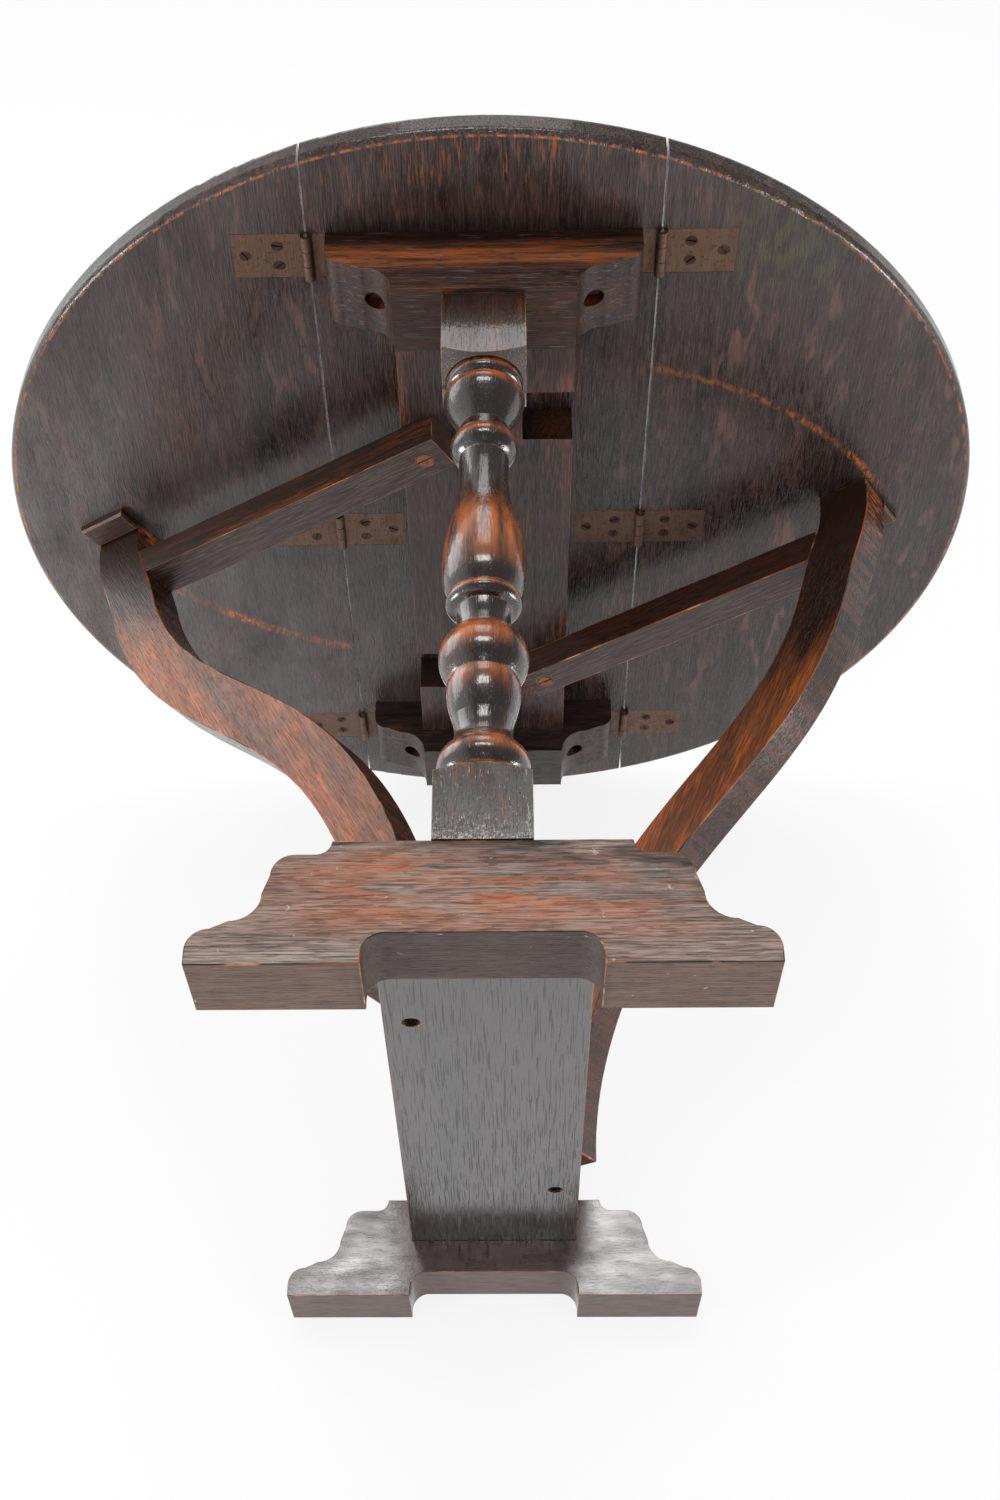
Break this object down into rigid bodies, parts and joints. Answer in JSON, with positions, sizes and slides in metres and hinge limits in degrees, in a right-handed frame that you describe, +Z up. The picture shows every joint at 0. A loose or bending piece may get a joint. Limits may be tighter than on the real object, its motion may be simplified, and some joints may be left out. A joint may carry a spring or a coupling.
{
  "type": "drop leaf coffee table",
  "caption": "Round-topped low oak table with two drop leaves, turned uprights on ogee sled feet, a bottom shelf and two pivoting S-leg gates.",
  "frame": {"origin": "on the floor under the centre of the round top", "axes": "+X along the bottom shelf towards the near foot, +Y across the joints of the top towards the right leaf, +Z up to the table top"},
  "size_m": [0.6, 0.6, 0.455],
  "materials": {
    "top_oak": "dark fumed oak, worn satin finish",
    "shelf_oak": "dark fumed oak, open grained, dull",
    "rail_oak": "dark stained oak with worn red-brown patches, satin",
    "gate_oak": "dark stained oak with worn red-brown patches, satin",
    "turned_oak": "turned oak under dark glossy shellac",
    "hinge_brass": "aged brown plate",
    "hinge_pin_steel": "worn bright",
    "screw_brass": "dull coppery brown"
  },
  "bodies": {
    "root": {"top_centre_board": "top_oak", "centre_batten": "shelf_oak", "bearer_near": "rail_oak", "bearer_far": "rail_oak", "baluster_near": "turned_oak", "baluster_far": "turned_oak", "foot_near": "rail_oak", "foot_far": "rail_oak", "shelf_board": "shelf_oak", "bearer_screws": "screw_brass", "hinge_screws_centre": "screw_brass", "gate_pivot_screw_left": "screw_brass", "gate_pivot_screw_right": "screw_brass", "hinge_plate_fixed_left_near": "hinge_brass", "hinge_pin_left_near": "hinge_pin_steel", "hinge_plate_fixed_left_middle": "hinge_brass", "hinge_pin_left_middle": "hinge_pin_steel", "hinge_plate_fixed_left_far": "hinge_brass", "hinge_pin_left_far": "hinge_pin_steel", "hinge_plate_fixed_right_near": "hinge_brass", "hinge_pin_right_near": "hinge_pin_steel", "hinge_plate_fixed_right_middle": "hinge_brass", "hinge_pin_right_middle": "hinge_pin_steel", "hinge_plate_fixed_right_far": "hinge_brass", "hinge_pin_right_far": "hinge_pin_steel"},
    "leaf_left": {"leaf_board_left": "top_oak", "stop_block_left": "shelf_oak", "hinge_screws_leaf_left": "screw_brass", "hinge_plate_leaf_left_near": "hinge_brass", "hinge_plate_leaf_left_middle": "hinge_brass", "hinge_plate_leaf_left_far": "hinge_brass"},
    "gate_left": {"gate_arm_left": "gate_oak", "gate_leg_left": "gate_oak", "gate_dowel_left": "gate_oak"},
    "leaf_right": {"leaf_board_right": "top_oak", "stop_block_right": "shelf_oak", "hinge_screws_leaf_right": "screw_brass", "hinge_plate_leaf_right_near": "hinge_brass", "hinge_plate_leaf_right_middle": "hinge_brass", "hinge_plate_leaf_right_far": "hinge_brass"},
    "gate_right": {"gate_arm_right": "gate_oak", "gate_leg_right": "gate_oak", "gate_dowel_right": "gate_oak"}
  },
  "joints": [
    {"name": "gate_left_swing", "type": "hinge", "parent": "root", "child": "gate_left", "pos_m": [0.108, -0.036, 0.05], "axis": [0, 0, 1], "range_deg": [-58, 0]},
    {"name": "gate_right_swing", "type": "hinge", "parent": "root", "child": "gate_right", "pos_m": [-0.108, 0.036, 0.05], "axis": [0, 0, 1], "range_deg": [-56, 0]},
    {"name": "leaf_left_hinge", "type": "hinge", "parent": "root", "child": "leaf_left", "pos_m": [0, -0.0955, 0.4375], "axis": [-1, 0, 0], "range_deg": [0, 3]},
    {"name": "leaf_right_hinge", "type": "hinge", "parent": "root", "child": "leaf_right", "pos_m": [0, 0.0955, 0.4375], "axis": [1, 0, 0], "range_deg": [0, 3]}
  ]
}
